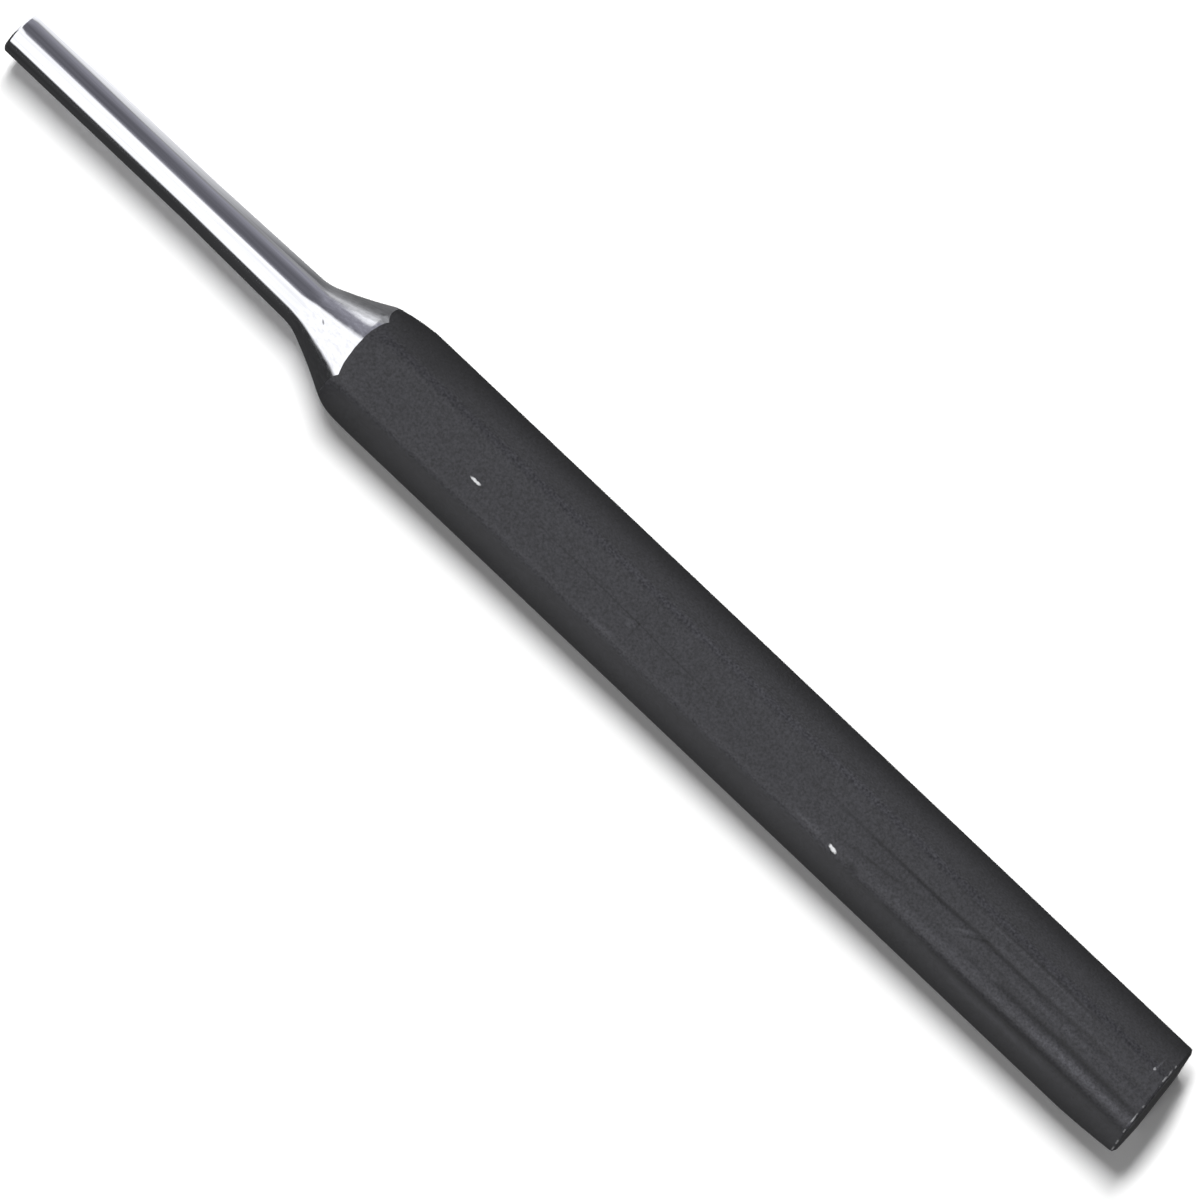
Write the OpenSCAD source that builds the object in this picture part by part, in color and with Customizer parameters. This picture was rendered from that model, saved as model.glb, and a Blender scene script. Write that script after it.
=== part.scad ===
// Pin punch: one bar of hexagonal tool steel, turned down and ground bright at the
// working end, with a black coat over the hexagonal shank and the struck end.
// It lies on one flat. The pin points along +X and +Z is up.

/* [Overall] */
// Length from the tip to the furthest point of the struck end
length = 150; // [110:1:200]

/* [Pin] */
// Diameter of the straight pin
pin_d = 4.8; // [2.5:0.1:6.5]
// Length of the straight pin, tip bevel included
pin_length = 24; // [8:1:40]
// Width of the bevel round the tip
tip_bevel = 0.25; // [0.1:0.05:0.6]

/* [Neck and flare] */
// Length of the slow taper behind the pin
neck_length = 13.5; // [6:0.5:25]
// How much thicker than the pin the taper is at its end
neck_growth = 0.55; // [0.2:0.05:1.2]
// Radius of the hollow sweep from the taper into the flare
sweep_r = 5.6; // [2:0.2:9]
// Slope of the flare to the axis, in degrees
flare_angle = 25.5; // [18:0.5:35]
// Radius of the rounded shoulder between the flare and the shank
shoulder_r = 9.4; // [4:0.2:14]

/* [Shank] */
// Width across the flats of the bare hexagonal bar
across_flats = 11.1; // [9.5:0.1:16]
// Radius along the six long edges of the bare bar
edge_r = 1.05; // [0.4:0.05:2]

/* [Struck end] */
// Depth of the bevel round the struck face, taken in from the flats
head_bevel = 0.35; // [0.1:0.05:1.5]
// Slope of that bevel from the struck face, in degrees
head_bevel_angle = 30; // [20:1:50]
// How far the struck face is ground off square, in degrees
head_skew = 5; // [0:0.5:8]

/* [Coat] */
// Thickness of the black coat
coat_t = 0.15; // [0.05:0.01:0.3]

/* [Hidden] */

// Fineness of the round surfaces
$fn = 96;
// Flats on a hexagonal bar, and half the turn that one of them takes
sides = 6;
half_turn = 180 / sides;
// How far a shape runs on past the face that trims it
overrun = 2 * across_flats;
// Share of its radius by which the rounding of a long edge is fuller than tangent
fuller_share = 0.0002;

// Pin and neck radii, and the slope of the slow taper
pin_r = pin_d / 2;
neck_r = pin_r + neck_growth / 2;
neck_angle = atan((neck_r - pin_r) / neck_length);

// Half the width of the bar, bare and coated, and its radius at a sharp corner
flat_r = across_flats / 2;
coated_flat_r = flat_r + coat_t;
coated_corner_r = flat_r / cos(half_turn) + coat_t;

// Points of the half outline are [radius, distance from the tip].
// The sweep is tangent to the taper and to the flare.
neck_end = pin_length + neck_length;
sweep_mid = [neck_r + sweep_r * cos(neck_angle), neck_end - sweep_r * sin(neck_angle)];
flare_out = [cos(flare_angle), -sin(flare_angle)];
flare_start = sweep_mid - sweep_r * flare_out;

// The coated shoulder is tangent to the flare, and level at the corner radius
shoulder_foot_r = coated_corner_r - shoulder_r * (1 - cos(flare_angle));
shoulder_foot_at = flare_start[1] + (shoulder_foot_r - flare_start[0]) / tan(flare_angle);
shoulder_end = shoulder_foot_at + shoulder_r * sin(flare_angle);
shoulder_mid = [coated_corner_r - shoulder_r, shoulder_end];

// The struck face is on the coat, and its far rim gives the overall length
face_r = coated_flat_r - head_bevel;
face_at = length - face_r * sin(head_skew);

// Foot of the shoulder, sunk by inset below the coated surface
function shoulder_foot(inset) = shoulder_mid + (shoulder_r - inset) * flare_out;

// Lays a shape that is built up from the tip along +Z down on a flat, along X
module laid_down() {
    translate([length / 2, 0, coated_flat_r])
        rotate([0, -90, 0])
            children();
}

// Section of the bar with its rounded edges, grown outwards by skin.
// The roundings are a hair fuller than tangent, so they meet the flats in clean lines.
module hex_section(skin) {
    edge_at = (flat_r - edge_r) / cos(half_turn);
    polygon([for (side = [0 : sides - 1]) for (hand = [-1, 1])
        let (edge = (2 * side + 1) * half_turn, wall = edge + hand * half_turn)
            edge_at * [cos(edge), sin(edge)] + (edge_r + skin) * [cos(wall), sin(wall)]]);
    for (side = [0 : sides - 1])
        rotate((2 * side + 1) * half_turn)
            translate([edge_at, 0])
                circle(r = (edge_r + skin) * (1 + fuller_share));
}

// Half outline of the rounded shoulder and of the room for the shank behind it
module shank_outline(inset) {
    foot = shoulder_foot(inset);
    level_r = coated_corner_r - inset;
    top = [level_r, foot[1] + (level_r - foot[0]) / tan(flare_angle)];
    difference() {
        polygon([
            [0, shoulder_foot_at],
            shoulder_foot(coat_t),
            foot,
            top,
            [level_r, length + overrun],
            [0, length + overrun],
        ]);
        difference() {
            polygon([foot, top, [level_r, shoulder_end]]);
            translate(shoulder_mid)
                circle(r = shoulder_r - inset);
        }
    }
}

// Half outline of the ground working end, from the tip to the black edge
module working_outline() {
    difference() {
        polygon([
            [0, 0],
            [pin_r - tip_bevel, 0],
            [pin_r, tip_bevel],
            [pin_r, pin_length],
            [neck_r, neck_end],
            flare_start,
            shoulder_foot(0),
            shoulder_foot(coat_t),
            [0, shoulder_foot(coat_t)[1]],
        ]);
        translate(sweep_mid)
            circle(r = sweep_r);
    }
}

// What grinding takes off the struck end: all beyond the face and its bevel
module head_waste(inset) {
    rim_r = face_r - inset * tan(head_bevel_angle / 2);
    translate([0, 0, face_at])
        rotate([head_skew, 0, 0])
            rotate_extrude()
                polygon([
                    [0, -inset],
                    [rim_r, -inset],
                    [rim_r + overrun, -inset - overrun * tan(head_bevel_angle)],
                    [rim_r + overrun, 2 * overrun],
                    [0, 2 * overrun],
                ]);
}

// Hexagonal shank with its shoulder, sunk by inset below the coated surface
module shank(inset) {
    difference() {
        intersection() {
            linear_extrude(length + overrun)
                hex_section(coat_t - inset);
            rotate_extrude()
                shank_outline(inset);
        }
        head_waste(inset);
    }
}

// One-piece bar: pin, neck and flare, with the hexagonal core behind them
module steel_bar() {
    color("silver")
        laid_down() {
            rotate_extrude()
                working_outline();
            shank(coat_t);
        }
}

// Black coat over the shoulder, the six flats, the bevel and the struck face
module black_coat() {
    color("dimgray")
        laid_down()
            difference() {
                shank(0);
                shank(coat_t);
                rotate_extrude()
                    working_outline();
            }
}

steel_bar();
black_coat();
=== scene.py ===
import math

import bmesh
import bpy
from mathutils import Matrix, Vector


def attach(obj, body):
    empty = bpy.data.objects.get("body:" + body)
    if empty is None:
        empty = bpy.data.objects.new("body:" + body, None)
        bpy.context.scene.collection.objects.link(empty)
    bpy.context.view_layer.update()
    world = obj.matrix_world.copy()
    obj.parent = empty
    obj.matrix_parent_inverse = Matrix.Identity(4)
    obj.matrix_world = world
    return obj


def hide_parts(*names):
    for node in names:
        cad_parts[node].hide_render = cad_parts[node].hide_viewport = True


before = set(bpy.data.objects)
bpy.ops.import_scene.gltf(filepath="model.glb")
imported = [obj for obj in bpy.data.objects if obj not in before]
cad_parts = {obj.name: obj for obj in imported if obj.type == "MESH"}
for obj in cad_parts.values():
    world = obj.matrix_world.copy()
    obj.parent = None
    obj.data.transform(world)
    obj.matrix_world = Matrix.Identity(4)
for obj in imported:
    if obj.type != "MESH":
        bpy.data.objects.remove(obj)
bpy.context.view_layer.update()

# The bar. One length of hexagonal tool steel, whose working end is turned down to a
# flare, a slow taper and a straight pin, then ground and polished bright. Behind the
# flare it keeps its hexagon, which the coat covers. All sizes here are in millimetres.
MM = 0.001
SEGMENTS = 240
TIP_AT = 75.0
AXIS_HIGH = 5.7
PIN_R = 2.4
PIN_END = 24.0
TIP_BEVEL = 0.25
TIP_ROUND = 0.03
NECK_R = 2.675
NECK_END = 37.5
NECK_SLOPE = math.radians(1.2)
SWEEP_R = 5.6
SWEEP_MID = (37.386, 8.2738)
FLARE_ANGLE = math.radians(25.5)
FLARE_FOOT = (39.797, 3.2193)
FLARE_BOW = 0.1
BOW_FROM, BOW_SLOPE = (39.5, 3.089), math.radians(22.3)
BLACK_AT = 44.878
SHOULDER_R = 9.4
SHOULDER_MID = (48.925, -2.8414)
FLAT_R = 5.7
EDGE_R = 1.2
SOFT_EDGE = 0.35
FACE_AT = 149.46
FACE_SKEW = math.tan(math.radians(5))
COAT_T = 0.05
CORE_GAP = 0.005

# Behind the shoulder its round limit opens at this slope, clear of the hexagon
SHOULDER_OPENS = 0.25

# The corner on the far side is dressed a little lower just behind the shoulder, and the
# one on the near side is worn off towards the struck end, and rounded there
LOW_FROM, LOW_TO, LOW_DEEP = 47.0, 49.2, 0.2
WORN_FROM, WORN_DEEP, WORN_ROUND = 142.5, 0.5, 0.15

# Draw marks near the struck end: how far they lie across the top flat, half their width,
# their depth and where they start, from the tip. They fade in over some millimetres.
DRAW_FADES = 12.0
DRAW_MARKS = [
    (-2.58, 0.16, 0.020, 122.0),
    (-0.63, 0.26, 0.035, 108.0),
    (1.35, 0.36, 0.040, 118.0),
    (3.40, 0.34, 0.045, 112.0),
]


def hexagon(angle, inset=0.0):
    """Radius of the rounded hexagon, at an angle that is measured from straight up."""
    flat_r, edge_r = FLAT_R - inset, EDGE_R - inset
    aside = abs((angle + math.pi / 6) % (math.pi / 3) - math.pi / 6)
    if aside < math.atan((flat_r - edge_r) * math.tan(math.pi / 6) / flat_r):
        return flat_r / math.cos(aside)
    mid = (flat_r - edge_r) / math.cos(math.pi / 6)
    turn = math.pi / 6 - aside
    return mid * math.cos(turn) + math.sqrt(edge_r**2 - (mid * math.sin(turn)) ** 2)


def clamped(value):
    """Keeps a value between 0 and 1."""
    return min(max(value, 0.0), 1.0)


def lesser(a, b, soft):
    """The lesser of two radii, with the corner between them rounded off."""
    share = clamped(0.5 + 0.5 * (b - a) / soft)
    return b + (a - b) * share - soft * share * (1 - share)


def shank(along, angle, inset=0.0):
    """Radius of the shank so far from the tip, sunk by inset below the coated surface."""
    radius = hexagon(angle, inset)
    back = SHOULDER_MID[0] - along
    if back > 0:
        arc_r = SHOULDER_MID[1] + math.sqrt(SHOULDER_R**2 - back**2) - inset
    else:
        arc_r = SHOULDER_MID[1] + SHOULDER_R - back * SHOULDER_OPENS - inset
    radius = lesser(arc_r, radius, SOFT_EDGE)
    # From -1 at the corner on the far side to 1 at the one on the near side
    sideways = math.sin(angle)
    low = min(clamped(along - BLACK_AT), clamped((LOW_TO - along) / (LOW_TO - LOW_FROM)))
    radius -= LOW_DEEP * low * clamped(-2 * sideways - 1)
    on_top = math.cos(angle) > 0.2
    if on_top:
        for middle, half, deep, start in DRAW_MARKS:
            across = (radius * sideways - middle) / half
            radius -= deep * clamped((along - start) / DRAW_FADES) * math.exp(-(across**2))
    on_near_side = sideways > 0.5
    if on_near_side and along > WORN_FROM:
        worn = WORN_DEEP * ((along - WORN_FROM) / (FACE_AT - WORN_FROM)) ** 1.5
        limit = (hexagon(math.pi / 2, inset) - worn) / sideways
        radius = lesser(radius, limit, min(WORN_ROUND, 3 * worn + 0.001))
    return radius


def spot(along, radius, angle, skew=0.0):
    """The point, in metres, that lies so far from the tip and from the axis."""
    across = radius * math.sin(angle)
    at = TIP_AT - along - skew * FACE_SKEW * across
    return Vector((at, across, AXIS_HIGH + radius * math.cos(angle))) * MM


def put(corners, place):
    """Moves each corner to where place says for its angle round the axis."""
    for corner in corners:
        corner.co = place(math.atan2(corner.co.y, corner.co.z - AXIS_HIGH * MM))


def first_ring(mesh, place):
    """Starts a new mesh with an open ring of edges round the axis."""
    upright = Matrix.Translation((0, 0, AXIS_HIGH * MM)) @ Matrix.Rotation(math.pi / 2, 4, "Y")
    bmesh.ops.create_circle(mesh, segments=SEGMENTS, radius=MM, matrix=upright)
    put(mesh.verts, place)
    return mesh.edges[:]


def next_ring(mesh, ring, place):
    """Extrudes an open ring of edges to the next ring along the bar."""
    made = bmesh.ops.extrude_edge_only(mesh, edges=ring)["geom"]
    corners = {item for item in made if isinstance(item, bmesh.types.BMVert)}
    put(corners, place)
    return [
        item for item in made
        if isinstance(item, bmesh.types.BMEdge) and corners.issuperset(item.verts)
    ]


def finished(mesh, name, finish):
    """Turns the faces outwards and makes the mesh an object with one material."""
    bmesh.ops.recalc_face_normals(mesh, faces=mesh.faces[:])
    # Extruding leaves the faces in a chance order, so they are ranked by where they lie
    ranked = sorted(mesh.faces, key=lambda face: tuple(face.calc_center_median()))
    for rank, face in enumerate(ranked):
        face.index = rank
        face.smooth = True
    mesh.faces.sort()
    data = bpy.data.meshes.new(name)
    mesh.to_mesh(data)
    mesh.free()
    data.materials.append(finish)
    made = bpy.data.objects.new(name, data)
    bpy.context.scene.collection.objects.link(made)
    return made


def linear(colour):
    """Linear red, green, blue and alpha of an sRGB hex colour."""
    parts = [int(colour[i : i + 2], 16) / 255 for i in (1, 3, 5)]
    return [p / 12.92 if p <= 0.04045 else ((p + 0.055) / 1.055) ** 2.4 for p in parts] + [1.0]


def add(tree, kind, settings=None, links=None):
    """Adds a node. Settings are its properties or socket values, and links feed its inputs."""
    made = tree.nodes.new("ShaderNode" + kind)
    for key, value in (settings or {}).items():
        if isinstance(key, str) and hasattr(made, key):
            setattr(made, key, value)
        else:
            made.inputs[key].default_value = value
    for key, source in (links or {}).items():
        tree.links.new(source, made.inputs[key])
    return made


def how_far_off(tree, vector, high, along, across, half_long, half_wide, turn):
    """Distance from the middle of a mark so high above the axis, where 1 is its rim."""
    middle = spot(along, high, 0.0) + Vector((0, across * MM, 0))
    local = add(
        tree, "Mapping",
        {
            "vector_type": "TEXTURE",
            "Location": middle,
            "Rotation": (0, 0, math.radians(turn)),
            "Scale": (half_long * MM, half_wide * MM, AXIS_HIGH * MM),
        },
        {"Vector": vector},
    )
    off = add(tree, "VectorMath", {"operation": "LENGTH"}, {0: local.outputs[0]})
    return off.outputs["Value"]


# Bright tool steel, cylindrically ground and then polished along: a cold silver mirror
# with long faint streaks, and round the pin the last traces of the grinding wheel. Real
# grinding lines are a few hundredths of a millimetre apart, so they are drawn coarser.
STREAK_LONG, STREAK_WIDE = 17.0, 0.35
WHEEL_LINE, WHEEL_ROUND = 0.2, 8.0
# Nearly all of a noise lies in this range
NOISE = {"From Min": 0.3, "From Max": 0.7}
steel = bpy.data.materials.new("polished_tool_steel")
steel.use_nodes = True
tree = steel.node_tree
tree.nodes.clear()
where = add(tree, "TexCoord").outputs["Object"]
streak_scale = [1 / (size * MM) for size in (STREAK_LONG, STREAK_WIDE, STREAK_WIDE)]
streak_place = add(tree, "Mapping", {"Scale": streak_scale}, {"Vector": where})
streaks = add(tree, "TexNoise", {"Scale": 1.0, "Detail": 4.0}, {"Vector": streak_place.outputs[0]})
wheel_scale = [1 / (size * MM) for size in (WHEEL_LINE, WHEEL_ROUND, WHEEL_ROUND)]
wheel_place = add(tree, "Mapping", {"Scale": wheel_scale}, {"Vector": where})
wheel = add(tree, "TexNoise", {"Scale": 1.0, "Detail": 3.0}, {"Vector": wheel_place.outputs[0]})
gloss = add(
    tree, "MapRange", {**NOISE, "To Min": 0.07, "To Max": 0.15}, {"Value": streaks.outputs[0]}
)
dull = add(
    tree, "MapRange", {**NOISE, "To Min": 0.86, "To Max": 1.1}, {"Value": streaks.outputs[0]}
)
silver = add(
    tree, "VectorMath", {"operation": "SCALE", 0: linear("#d2d3d8")[:3]},
    {"Scale": dull.outputs[0]},
)
# A small dark nick on top of the flare: its height above the axis, its distances from the
# tip and across, half its length and width, and its turn in degrees
NICK = (3.75, 40.95, 0.08, 0.3, 0.1, -35.0)
nick_off = how_far_off(tree, where, *NICK)
nick = add(
    tree, "MapRange", {"From Min": 1.2, "From Max": 0.5, "To Max": 0.75}, {"Value": nick_off}
)
silver = add(
    tree, "Mix", {"data_type": "RGBA", 7: linear("#3a3a3d")},
    {0: nick.outputs[0], 6: silver.outputs[0]},
)
lines = add(tree, "Math", {"operation": "ADD"}, {0: streaks.outputs[0], 1: wheel.outputs[0]})
relief = add(
    tree, "Bump", {"Strength": 0.14, "Distance": 0.02 * MM}, {"Height": lines.outputs[0]}
)
shader = add(
    tree, "BsdfPrincipled",
    {"Metallic": 1.0},
    {"Base Color": silver.outputs[2], "Roughness": gloss.outputs[0], "Normal": relief.outputs[0]},
)
add(tree, "OutputMaterial", None, {"Surface": shader.outputs[0]})

# Half outline of the ground end, as distances from the tip and radii
NECK_STEPS, SWEEP_STEPS, FLARE_STEPS = 13, 12, 24
outline = [(0.0, 0.4), (0.0, 1.6)]
outline += [(0.0, PIN_R - TIP_BEVEL - TIP_ROUND), (TIP_ROUND / 3, PIN_R - TIP_BEVEL)]
outline += [(TIP_BEVEL - TIP_ROUND, PIN_R - TIP_ROUND), (TIP_BEVEL + TIP_ROUND, PIN_R)]
outline += [(float(at), PIN_R) for at in range(1, int(PIN_END) + 1)]
for step in range(1, NECK_STEPS + 1):
    share = step / NECK_STEPS
    outline.append((PIN_END + (NECK_END - PIN_END) * share, PIN_R + (NECK_R - PIN_R) * share))
for step in range(1, SWEEP_STEPS + 1):
    slope = NECK_SLOPE + (BOW_SLOPE - NECK_SLOPE) * step / SWEEP_STEPS
    outline.append(
        (SWEEP_MID[0] + SWEEP_R * math.sin(slope), SWEEP_MID[1] - SWEEP_R * math.cos(slope))
    )
# The flare is a cone that hand polishing has left a little hollow
FLARE_END = BLACK_AT - 0.1
FLARE_END_R = FLARE_FOOT[1] + (FLARE_END - FLARE_FOOT[0]) * math.tan(FLARE_ANGLE)
for step in range(1, FLARE_STEPS + 1):
    share = step / FLARE_STEPS
    bow = FLARE_BOW * math.sin(math.pi * share)
    at = BOW_FROM[0] + (FLARE_END - BOW_FROM[0]) * share
    outline.append((at, BOW_FROM[1] + (FLARE_END_R - BOW_FROM[1]) * share - bow))

# The flats of the hexagon already dent the last of the flare
bar_mesh = bmesh.new()
ring = first_ring(bar_mesh, lambda angle: spot(*outline[0], angle))
bmesh.ops.contextual_create(bar_mesh, geom=ring)
for at, radius in outline[1:]:
    ring = next_ring(
        bar_mesh, ring, lambda angle: spot(at, lesser(radius, hexagon(angle), SOFT_EDGE), angle)
    )

# The black edge, where the bare steel meets the coat. The grinding leaves it in uneven
# arches, with a cusp near each long edge of the hexagon, and a little rippled.
ARCH_AT = 45.0
# Each cusp: how many degrees it lies round from straight up, and how far it runs back
CUSPS = [(26, 0.62), (88, 0.2), (150, 0.5), (210, 0.5), (270, 0.3), (312, 0.55), (386, 0.62)]
CUSP_CURVE = 2.5
# Each ripple: how many waves go round the bar, where they start, and their height
RIPPLES = [(7, 1.0, 0.02), (19, 0.0, 0.012), (43, 0.0, 0.008)]
# How far behind the black edge its wave dies out, and where the shear to the face lies
WAVE_FADES = 2.4
SKEW_FROM, SKEW_TO = 136.0, 148.0


def black_edge(angle):
    """Distance from the tip to the front edge of the coat."""
    turned = (math.degrees(angle) - CUSPS[0][0]) % 360 + CUSPS[0][0]
    for (first, low), (last, high) in zip(CUSPS, CUSPS[1:]):
        if first <= turned <= last:
            aside = 2 * (turned - first) / (last - first) - 1
            cusp = (low if aside < 0 else high) * abs(aside) ** CUSP_CURVE
    ripple = sum(tall * math.sin(waves * angle + start) for waves, start, tall in RIPPLES)
    return ARCH_AT + cusp + ripple


def on_shank(base, wave=0.0, inset=0.0):
    """Places a ring of the shank, waved like its front edge by the share wave."""

    def place(angle):
        at = base + wave * (black_edge(angle) - BLACK_AT)
        skew = clamped((at - SKEW_FROM) / (SKEW_TO - SKEW_FROM))
        return spot(at, shank(at, angle, inset), angle, skew)

    return place


def in_step(at):
    """How far a ring of the shank shares the wave of the black edge."""
    return clamped(1 - (at - BLACK_AT) / WAVE_FADES)


def flush(share):
    """Places a ring of bare steel between the flare and the black edge."""

    def place(angle):
        at = FLARE_END + share * (black_edge(angle) - FLARE_END)
        return spot(at, shank(at, angle), angle)

    return place


# Stretches of rings behind the black edge, each by where it starts, how far apart its rings
# are and how many it has: close over the shoulder, wide along the shank, close at its end
STRETCHES = [(BLACK_AT, 0.15, 53), (BLACK_AT + 7.95, 1.5, 58), (139.8, 0.4, 23)]
STATIONS = [
    start + step * apart for start, apart, count in STRETCHES for step in range(1, count + 1)
]
# The bare steel runs flush up to the coat. Under the coat it sinks by the coat's
# thickness, keeps the coat's shape and ends just inside the coated face.
CORE_SINK = COAT_T + CORE_GAP
CORE_END = STATIONS[-1] + 0.05
for share in (0.25, 0.5, 0.75, 0.97, 1.0):
    ring = next_ring(bar_mesh, ring, flush(share))
for back, inset in ((0.03, 0.01), (0.1, 0.03)):
    ring = next_ring(bar_mesh, ring, on_shank(BLACK_AT + back, 1.0, inset))
for at in STATIONS:
    ring = next_ring(bar_mesh, ring, on_shank(at, in_step(at), CORE_SINK))
for core_r in (5.0, 1.0):
    ring = next_ring(bar_mesh, ring, lambda angle: spot(CORE_END, core_r, angle, 1.0))
bmesh.ops.contextual_create(bar_mesh, geom=ring)
bar = finished(bar_mesh, "punch_bar", steel)
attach(bar, "root")
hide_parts("steel_bar")

# The black coat. A thin satin black finish that clings to the shoulder, the flats and the
# struck end. It is put on before the working end is ground, so the grinding cuts its front
# edge, and use has rubbed it through along the rim of the bevel at the struck end.
BEVEL_WIDE = 0.35
BEVEL_SLOPE = math.tan(math.radians(30))
FACE_ROUND = 0.03


def on_bevel(share, lift=0.0):
    """Places a ring on the bevel, from 0 at the flats to 1 at the struck face."""

    def place(angle):
        at = FACE_AT - BEVEL_WIDE * (1 - share) * BEVEL_SLOPE - lift
        return spot(at, shank(FACE_AT, angle) - BEVEL_WIDE * share, angle, 1.0)

    return place


def on_face(share, back=0.0):
    """Places a ring on the struck face, or so far behind it, as a share of its radius."""
    return lambda angle: spot(
        FACE_AT - back, (shank(FACE_AT, angle) - BEVEL_WIDE - FACE_ROUND) * share, angle, 1.0
    )


# Satin black finish on drawn bar: a dark neutral grey with a fine dry grain, cloudy over
# some millimetres. Its colour is painted a shade darker towards the two side edges than on
# the flats, as painted shade. Along the last third the draw marks, which are also shallow grooves
# in the shape, show as lighter and darker streaks of painted shade and highlight. The real grain
# is under a tenth of a millimetre, so it is drawn coarser to show.
GRAIN = 0.24
CLOUD = 6.0
coat = bpy.data.materials.new("satin_black_coat")
coat.use_nodes = True
tree = coat.node_tree
tree.nodes.clear()
where = add(tree, "TexCoord").outputs["Object"]
grain = add(tree, "TexNoise", {"Scale": 1 / (GRAIN * MM), "Detail": 3.0}, {"Vector": where})
clouds = add(tree, "TexNoise", {"Scale": 1 / (CLOUD * MM), "Detail": 4.0}, {"Vector": where})

# Marks wander sideways within a strip so wide, with bends so far apart along and across
# the bar, and their rims are a little ragged
BENDS_ALONG, BENDS_ACROSS = 14.0, 20 / 3
WANDER_WIDE = 0.9
RAGGED = 0.25
wander_scale = (1 / (BENDS_ALONG * MM), 1 / (BENDS_ACROSS * MM), 0)
wander_place = add(tree, "Mapping", {"Scale": wander_scale}, {"Vector": where})
wander = add(tree, "TexNoise", {"Scale": 1.0, "Detail": 2.0}, {"Vector": wander_place.outputs[0]})
sideways = add(
    tree, "MapRange", {"To Min": -WANDER_WIDE / 2 * MM, "To Max": WANDER_WIDE / 2 * MM},
    {"Value": wander.outputs[0]},
)
shift = add(tree, "CombineXYZ", None, {"Y": sideways.outputs[0]})
waved = add(tree, "VectorMath", {"operation": "ADD"}, {0: where, 1: shift.outputs[0]})
crumbs = add(
    tree, "VectorMath",
    {"operation": "MULTIPLY_ADD", 1: [RAGGED * MM] * 3, 2: [-RAGGED / 2 * MM] * 3},
    {0: grain.outputs["Color"]},
)
wavy = add(tree, "VectorMath", {"operation": "ADD"}, {0: waved.outputs[0], 1: crumbs.outputs[0]})
straight = add(tree, "VectorMath", {"operation": "ADD"}, {0: where, 1: crumbs.outputs[0]})

# Marks on the upper side, most of them painted shade and highlight: distance from the tip,
# distance across, half length, half width, turn in degrees, and how much lighter or darker the
# coat is there
MARKS_AND_PAINTED_LIGHT = [
    # Painted shade in the draw-mark grooves, and painted highlight on the ridges between them
    (126.0, -0.62, 25.0, 0.30, 0.4, -0.60),
    (115.5, 1.25, 7.0, 0.22, 8.0, -0.36),
    (141.0, 1.42, 17.0, 0.48, 0.0, -0.55),
    (130.0, 2.42, 24.0, 0.62, 0.0, 0.36),
    (146.0, 2.48, 16.0, 0.52, 0.0, 0.80),
    (134.0, 3.52, 24.0, 0.52, 0.0, -0.60),
    (134.0, 4.45, 10.0, 0.45, 0.0, 0.45),
    (134.0, -2.62, 12.0, 0.17, 0.0, -0.45),
    (134.0, -2.30, 11.0, 0.17, 0.0, 0.36),
    (136.0, -1.25, 15.0, 0.40, 0.0, 0.26),
    (138.0, 0.25, 12.0, 0.36, 0.0, 0.34),
    (125.5, 0.10, 2.0, 0.22, 30.0, 0.45),
    (126.8, -0.10, 2.0, 0.18, 30.0, -0.45),
    (81.0, 0.10, 20.0, 0.12, -1.5, -0.42),
    (83.0, 0.60, 0.14, 3.0, 0.0, -0.34),
    (82.2, 0.70, 0.60, 0.5, 0.0, 0.34),
    (80.8, 2.90, 2.0, 0.4, 0.0, 0.40),
    (130.0, 1.40, 1.8, 0.35, 0.0, 0.50),
    (107.8, 2.80, 2.2, 0.35, 0.0, 0.60),
    (113.6, 2.95, 1.0, 0.5, 0.0, -0.60),
    (147.7, -3.30, 0.13, 1.5, 0.0, 0.90),
    # Painted shade on both side slopes just behind the shoulder
    (50.5, -4.90, 11.0, 1.7, 0.0, -0.36),
    (50.0, 4.90, 10.0, 1.5, 0.0, -0.22),
]
# Painted highlights along the two long edges of the upper flat, where their rounding catches the
# light, laid out in the same way
EDGE_HIGHLIGHTS = [(97.0, -3.15, 62.0, 0.48, 0.0, 0.42), (97.0, 3.3, 62.0, 0.48, 0.0, 0.22)]
# Chips that show the bare steel, laid out in the same way, but with no change
CHIPS = [
    (62.2, 0.95, 0.74, 0.18, 0.0),
    (111.05, 2.98, 0.62, 0.24, -14.0),
    (147.6, -2.95, 0.14, 0.18, 0.0),
]

# A mark fades out from near its middle to just past its rim
MARK_FADE = {"interpolation_type": "SMOOTHSTEP", "From Min": 1.15, "From Max": 0.1}
shade = add(tree, "Value")
shade.outputs[0].default_value = 1.0
for way, marks in ((wavy, MARKS_AND_PAINTED_LIGHT), (straight, EDGE_HIGHLIGHTS)):
    for *place, change in marks:
        off = how_far_off(tree, way.outputs[0], AXIS_HIGH, *place)
        mark = add(tree, "MapRange", {**MARK_FADE, "To Max": change}, {"Value": off})
        shade = add(tree, "Math", {"operation": "ADD"}, {0: shade.outputs[0], 1: mark.outputs[0]})

# Bare steel in the chips, and in dots along the worn rim of the bevel
DOT = 0.7
worn = add(tree, "Attribute", {"attribute_name": "worn_rim"})
dots = add(tree, "TexNoise", {"Scale": 1 / (DOT * MM), "Detail": 2.0}, {"Vector": where})
patchy = add(
    tree, "MapRange", {"From Min": 0.5, "From Max": 0.68, "To Max": 0.8},
    {"Value": dots.outputs[0]},
)
bare = add(
    tree, "Math", {"operation": "MULTIPLY"}, {0: worn.outputs["Fac"], 1: patchy.outputs[0]}
)
for place in CHIPS:
    off = how_far_off(tree, straight.outputs[0], AXIS_HIGH, *place)
    chip = add(tree, "MapRange", {"From Min": 1.0, "From Max": 0.6}, {"Value": off})
    bare = add(tree, "Math", {"operation": "MAXIMUM"}, {0: bare.outputs[0], 1: chip.outputs[0]})
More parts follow.
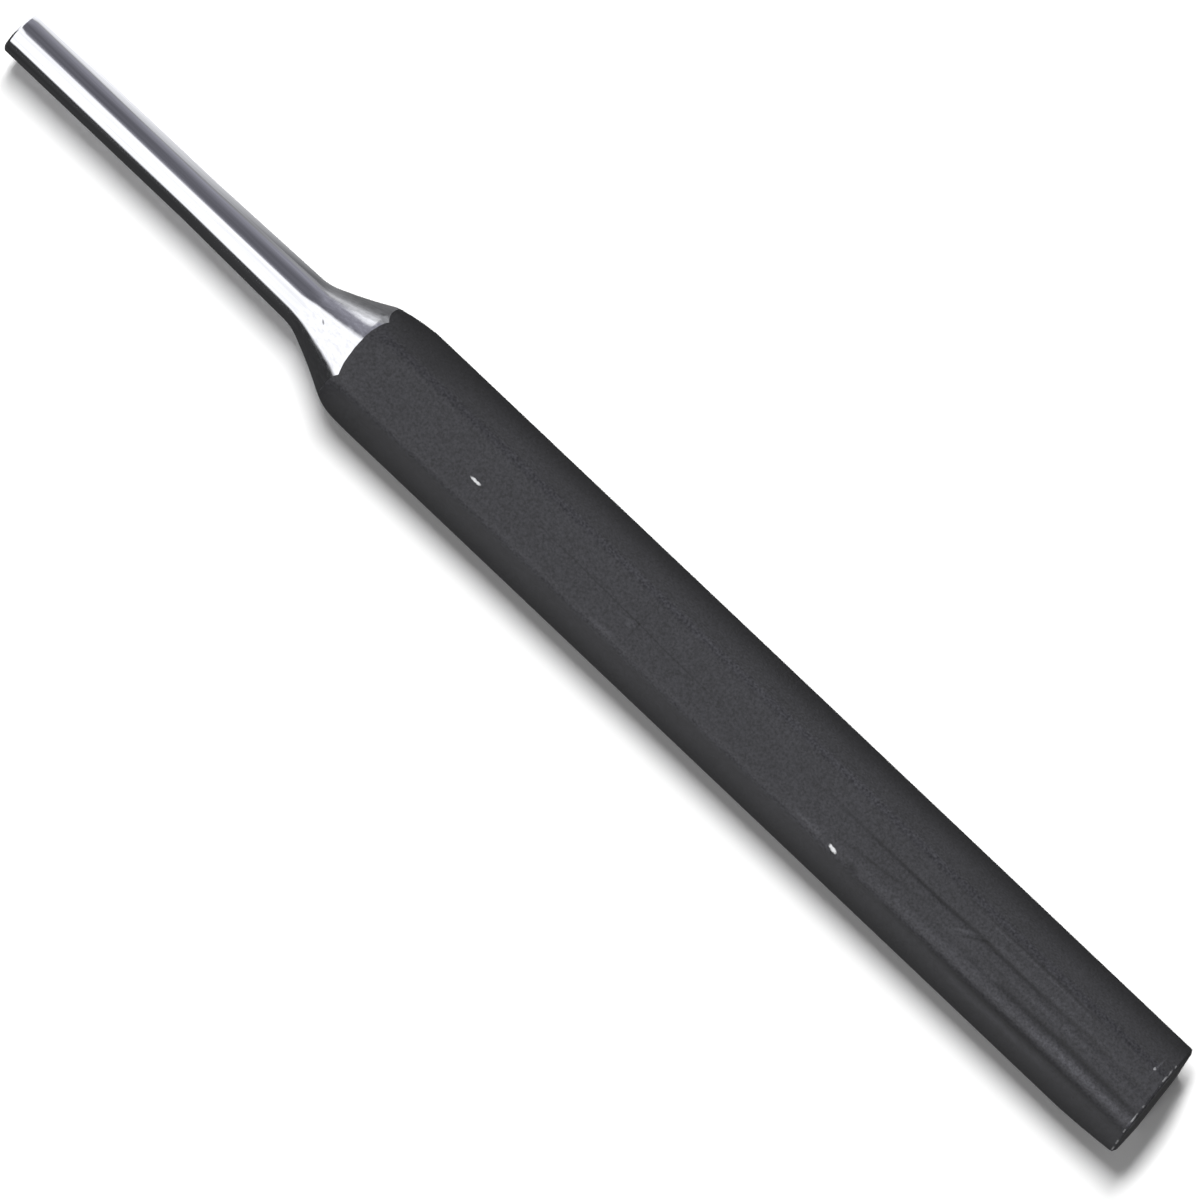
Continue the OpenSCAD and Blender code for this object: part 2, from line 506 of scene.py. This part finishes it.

# Painted shade, darker towards the two side edges than towards the upper and the lower flat:
# heights from the axis between which it changes, and the share of its colour at the sides
SHADE_FULL_TO, SHADE_ENDS_AT, SIDE_SHADE_SHARE = 0.3, 4.2, 0.34
parts = add(tree, "SeparateXYZ", None, {"Vector": where})
height = add(tree, "Math", {"operation": "SUBTRACT", 1: AXIS_HIGH * MM}, {0: parts.outputs["Z"]})
from_side = add(tree, "Math", {"operation": "ABSOLUTE"}, {0: height.outputs[0]})
level = add(
    tree, "MapRange",
    {
        "interpolation_type": "SMOOTHSTEP", "To Min": SIDE_SHADE_SHARE,
        "From Min": SHADE_FULL_TO * MM, "From Max": SHADE_ENDS_AT * MM,
    },
    {"Value": from_side.outputs[0]},
)
for source, least, most in ((clouds, 0.95, 1.05), (grain, 0.52, 1.48)):
    change = add(
        tree, "MapRange", {**NOISE, "To Min": least, "To Max": most}, {"Value": source.outputs[0]}
    )
    level = add(
        tree, "Math", {"operation": "MULTIPLY"}, {0: level.outputs[0], 1: change.outputs[0]}
    )
level = add(tree, "Math", {"operation": "MULTIPLY"}, {0: level.outputs[0], 1: shade.outputs[0]})
black = add(
    tree, "VectorMath", {"operation": "SCALE", 0: linear("#2f2f32")[:3]},
    {"Scale": level.outputs[0]},
)
colour = add(
    tree, "Mix", {"data_type": "RGBA", 7: linear("#c9cacc")},
    {0: bare.outputs[0], 6: black.outputs[0]},
)
gloss = add(
    tree, "MapRange", {**NOISE, "To Min": 0.38, "To Max": 0.54}, {"Value": grain.outputs[0]}
)
relief = add(
    tree, "Bump", {"Strength": 0.6, "Distance": 0.03 * MM}, {"Height": grain.outputs[0]}
)
shader = add(
    tree, "BsdfPrincipled",
    {"Specular IOR Level": 0.3},
    {
        "Base Color": colour.outputs[2],
        "Metallic": bare.outputs[0],
        "Roughness": gloss.outputs[0],
        "Normal": relief.outputs[0],
    },
)
add(tree, "OutputMaterial", None, {"Surface": shader.outputs[0]})

coat_mesh = bmesh.new()
worn_rim = coat_mesh.verts.layers.float.new("worn_rim")
ring = first_ring(coat_mesh, on_face(0.2, COAT_T))
bmesh.ops.contextual_create(coat_mesh, geom=ring)
ring = next_ring(coat_mesh, ring, on_face(0.99, COAT_T))
for at in reversed(STATIONS):
    ring = next_ring(coat_mesh, ring, on_shank(at, in_step(at), COAT_T))
# The grinding feathers the front edge, with a fine round at its lip: how far each ring
# lies behind the black edge, and how deep below the coated surface
for back, inset in ((0.0, 0.045), (0.005, 0.02), (0.03, 0.004), (0.07, 0.0)):
    ring = next_ring(coat_mesh, ring, on_shank(BLACK_AT + back, 1.0, inset))
for at in STATIONS:
    ring = next_ring(coat_mesh, ring, on_shank(at, in_step(at)))
# Rings over the bevel: their share of its width, how far in front of it they lie, and how
# worn the coat is there. The struck face has no wear.
BEVEL_RINGS = [
    (0.0, 0.13, 0.0), (0.0, 0.03, 1.0), (0.06, 0.0, 1.0), (0.35, 0.0, 0.0), (0.94, 0.0, 0.0),
]
FACE_RINGS = (1.0, 0.98, 0.6, 0.2)
closing = [(on_bevel(share, lift), wear) for share, lift, wear in BEVEL_RINGS]
closing += [(on_face(share), 0.0) for share in FACE_RINGS]
for place, wear in closing:
    ring = next_ring(coat_mesh, ring, place)
    for corner in {corner for edge in ring for corner in edge.verts}:
        corner[worn_rim] = wear
bmesh.ops.contextual_create(coat_mesh, geom=ring)
shell = finished(coat_mesh, "punch_coat", coat)
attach(shell, "root")
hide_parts("black_coat")

# The stage. A white paper floor that keeps the soft shadow. Matt surfaces see it a little
# darker than the camera and the polished ones do.
FLOOR_DROP = 0.05
FLOOR_HALF = 3000.0
floor_mesh = bmesh.new()
down = Matrix.Translation((0, 0, -FLOOR_DROP * MM))
bmesh.ops.create_grid(floor_mesh, x_segments=1, y_segments=1, size=FLOOR_HALF * MM, matrix=down)
paper = bpy.data.materials.new("white_paper")
paper.use_nodes = True
tree = paper.node_tree
tree.nodes.clear()
seen = add(tree, "LightPath")
direct = add(
    tree, "Math", {"operation": "MAXIMUM"},
    {0: seen.outputs["Is Camera Ray"], 1: seen.outputs["Is Glossy Ray"]},
)
white = add(
    tree, "Mix", {"data_type": "RGBA", 6: linear("#d8d8d8"), 7: linear("#ffffff")},
    {0: direct.outputs[0]},
)
matt = add(tree, "BsdfDiffuse", None, {"Color": white.outputs[2]})
add(tree, "OutputMaterial", None, {"Surface": matt.outputs[0]})
floor = finished(floor_mesh, "floor", paper)

# Cards just above the floor that only reflections see: a dark one on the near side of the
# pin for its dark edge, two grey ones on both sides of the shank that keep the satin sides
# quiet, two on the far side of the pin and beyond the tip that grow pale, and a small dark
# one beside the flare. The last three meet at nearly one level, so no step is reflected.
CARDS = {
    # Two corners, the height, the way along which it shades, from where to where, the levels
    "dark_card": ((31, 2), (FLOOR_HALF, FLOOR_HALF), 0.10, (1, 0, 0), (31, 95), (0.05, 0.05)),
    "grey_card": ((-110, -300), (30.9, 0), 0.10, (0, -1, 0), (6, 40), (0.12, 0.7)),
    "near_card": ((-110, 0), (30.9, 300), 0.10, (0, 1, 0), (6, 40), (0.12, 0.7)),
    "pale_card": ((31, -FLOOR_HALF), (70, -2), 0.10, (1, 0.33, 0), (40, 70), (0.42, 1.6)),
    "far_card": ((70, -FLOOR_HALF), (FLOOR_HALF, -2), 0.10, (1.04, 1, 0), (8, 68), (0.42, 1.6)),
    "flare_card": ((31, -25), (49, -4.5), 0.15, (1, 0.45, 0), (33.3, 45.4), (0.2, 0.67)),
}
for name, (low, high, lift, way, reach, levels) in CARDS.items():
    sheet_mesh = bmesh.new()
    middle = (Vector(low) + Vector(high)).to_3d() / 2 * MM + Vector((0, 0, lift * MM))
    half = (Vector(high) - Vector(low)) / 2 * MM
    place = Matrix.Translation(middle) @ Matrix.Diagonal((half.x, half.y, 1, 1))
    bmesh.ops.create_grid(sheet_mesh, x_segments=1, y_segments=1, size=1.0, matrix=place)
    glow = bpy.data.materials.new(name)
    glow.use_nodes = True
    tree = glow.node_tree
    tree.nodes.clear()
    where = add(tree, "TexCoord").outputs["Object"]
    off = add(tree, "VectorMath", {"operation": "DOT_PRODUCT", 1: way}, {0: where})
    strength = add(
        tree, "MapRange",
        {
            "From Min": reach[0] * MM, "From Max": reach[1] * MM,
            "To Min": levels[0], "To Max": levels[1],
        },
        {"Value": off.outputs["Value"]},
    )
    light = add(tree, "Emission", None, {"Strength": strength.outputs[0]})
    add(tree, "OutputMaterial", None, {"Surface": light.outputs[0]})
    sheet = finished(sheet_mesh, name, glow)
    sheet.visible_camera = sheet.visible_diffuse = False
    sheet.visible_shadow = sheet.visible_transmission = False


def turned_to(back):
    """Turn of a lamp or camera that looks against back and keeps its X axis along the bar."""
    along = (Vector((1, 0, 0)) - back * back.x).normalized()
    return Matrix((along, back.cross(along), back)).transposed().to_4x4()


# The key light: a long soft box overhead, square to the bar and off to the far side, so
# that the shadow falls to the near side and a little behind the struck end
KEY_FROM = Vector((0.238, -0.44, 1.0)).normalized()
KEY_FAR = 2.0
KEY_POWER = 44.5
KEY_WIDE, KEY_LONG = 0.33, 0.84
key_data = bpy.data.lights.new("key", "AREA")
key_data.shape = "RECTANGLE"
key_data.size, key_data.size_y = KEY_WIDE, KEY_LONG
key_data.energy = KEY_POWER
key = bpy.data.objects.new("key", key_data)
key.matrix_world = Matrix.Translation(KEY_FROM * KEY_FAR) @ turned_to(KEY_FROM)
key.visible_glossy = False
bpy.context.scene.collection.objects.link(key)

# The fill light: broad and low on the near side, so that it hardly touches the floor
FILL_FROM = Vector((0.0, 1.0, 0.12))
FILL_POWER, FILL_SPREAD = 1.6, math.radians(24)
fill_data = bpy.data.lights.new("fill", "SUN")
fill_data.energy = FILL_POWER
fill_data.angle = FILL_SPREAD
fill = bpy.data.objects.new("fill", fill_data)
fill.rotation_euler = (-FILL_FROM).to_track_quat("-Z", "Y").to_euler()
fill.visible_glossy = False
bpy.context.scene.collection.objects.link(fill)

# The room: plain soft light on the matt surfaces. Polished ones see a wide white light
# overhead, with one edge along the bar and the other low on the near side, and beyond
# them grey walls that grow lighter towards the horizon on the far side, with a white
# window low down ahead of the tip.
# The direction square to each edge, and how far past the edge the change starts and ends
WHITE_EDGE, WHITE_FADE = (0.29, 1.0, 0.149), (-0.05, 0.05)
LOW_EDGE, LOW_FADE = (0.347, -0.4637, 1.0), (-0.03, 0.09)
WINDOW_EDGE, WINDOW_FADE = (1.04, 1.0, -0.7), (-0.1, 0.2)
# Heights above the horizon between which the window fades out upwards, as sines
WINDOW_TOP, WINDOW_FULL = 0.14, 0.08
WHITE, DARK, SOFT = 1.6, 0.06, 0.19
# Grey of the walls: the sine of the height above the horizon, and the level there
WALLS = [(0.0, 0.42), (0.26, 0.38), (0.5, 0.22), (0.71, 0.18), (0.9, 0.18), (0.97, 0.3)]
WALL_TINT = (0.98, 0.97, 1.09)
world = bpy.data.worlds.new("studio")
bpy.context.scene.world = world
world.use_nodes = True
tree = world.node_tree
tree.nodes.clear()
toward = add(tree, "TexCoord").outputs["Generated"]
across = add(tree, "VectorMath", {"operation": "DOT_PRODUCT", 1: WHITE_EDGE}, {0: toward})
near_side = add(
    tree, "MapRange", {"From Min": WHITE_FADE[0], "From Max": WHITE_FADE[1]},
    {"Value": across.outputs["Value"]},
)
above = add(tree, "VectorMath", {"operation": "DOT_PRODUCT", 1: LOW_EDGE}, {0: toward})
high = add(
    tree, "MapRange",
    {"From Min": LOW_FADE[0], "From Max": LOW_FADE[1], "To Min": DARK, "To Max": WHITE},
    {"Value": above.outputs["Value"]},
)
parts = add(tree, "SeparateXYZ", None, {"Vector": toward})
walls = add(tree, "ValToRGB", None, {"Fac": parts.outputs["Z"]})
while len(walls.color_ramp.elements) < len(WALLS):
    walls.color_ramp.elements.new(0.5)
for element, (height, grey) in zip(walls.color_ramp.elements, WALLS):
    element.position = height
    element.color = [grey * tint for tint in WALL_TINT] + [1.0]
low = add(
    tree, "MapRange", {"From Min": WINDOW_TOP, "From Max": WINDOW_FULL},
    {"Value": parts.outputs["Z"]},
)
past = add(tree, "VectorMath", {"operation": "DOT_PRODUCT", 1: WINDOW_EDGE}, {0: toward})
ahead = add(
    tree, "MapRange", {"From Min": WINDOW_FADE[0], "From Max": WINDOW_FADE[1]},
    {"Value": past.outputs["Value"]},
)
window = add(tree, "Math", {"operation": "MULTIPLY"}, {0: low.outputs[0], 1: ahead.outputs[0]})
far_side = add(
    tree, "Mix", {"data_type": "RGBA", 7: (WHITE, WHITE, WHITE, 1.0)},
    {0: window.outputs[0], 6: walls.outputs[0]},
)
room = add(
    tree, "Mix", {"data_type": "RGBA"},
    {0: near_side.outputs[0], 6: far_side.outputs[2], 7: high.outputs[0]},
)
seen = add(tree, "LightPath")
soft = add(tree, "Background", {"Color": (1, 1, 1, 1), "Strength": SOFT})
studio = add(tree, "Background", {"Strength": 1.0}, {"Color": room.outputs[2]})
backdrop = add(tree, "Background", {"Color": (1, 1, 1, 1), "Strength": 1.0})
gloss_or_soft = add(
    tree, "MixShader", None,
    {0: seen.outputs["Is Glossy Ray"], 1: soft.outputs[0], 2: studio.outputs[0]},
)
all_rays = add(
    tree, "MixShader", None,
    {0: seen.outputs["Is Camera Ray"], 1: gloss_or_soft.outputs[0], 2: backdrop.outputs[0]},
)
add(tree, "OutputWorld", None, {"Surface": all_rays.outputs[0]})

# The camera: a long lens almost straight above, leaning a little to the struck end and to
# the far side, with the punch lying down across the picture from its top left corner
IMAGE_PX = 1200
PX_PER_MM = 10.48
LENS, SENSOR = 500.0, 36.0
LEAN_HEAD = math.radians(5.0)
LEAN_SIDE = math.radians(-3.5)
ROLL = math.radians(-136.5154)
AIM = Vector((-3.16, 1.37, AXIS_HIGH)) * MM
back = Vector((-math.tan(LEAN_HEAD), math.tan(LEAN_SIDE), 1.0)).normalized()
camera_data = bpy.data.cameras.new("camera")
camera_data.lens, camera_data.sensor_width = LENS, SENSOR
far = IMAGE_PX / PX_PER_MM * LENS / SENSOR * MM
camera = bpy.data.objects.new("camera", camera_data)
turned = turned_to(back) @ Matrix.Rotation(ROLL, 4, "Z")
camera.matrix_world = Matrix.Translation(AIM + back * far) @ turned
bpy.context.scene.collection.objects.link(camera)
bpy.context.scene.camera = camera
bpy.context.scene.view_settings.view_transform = "Standard"
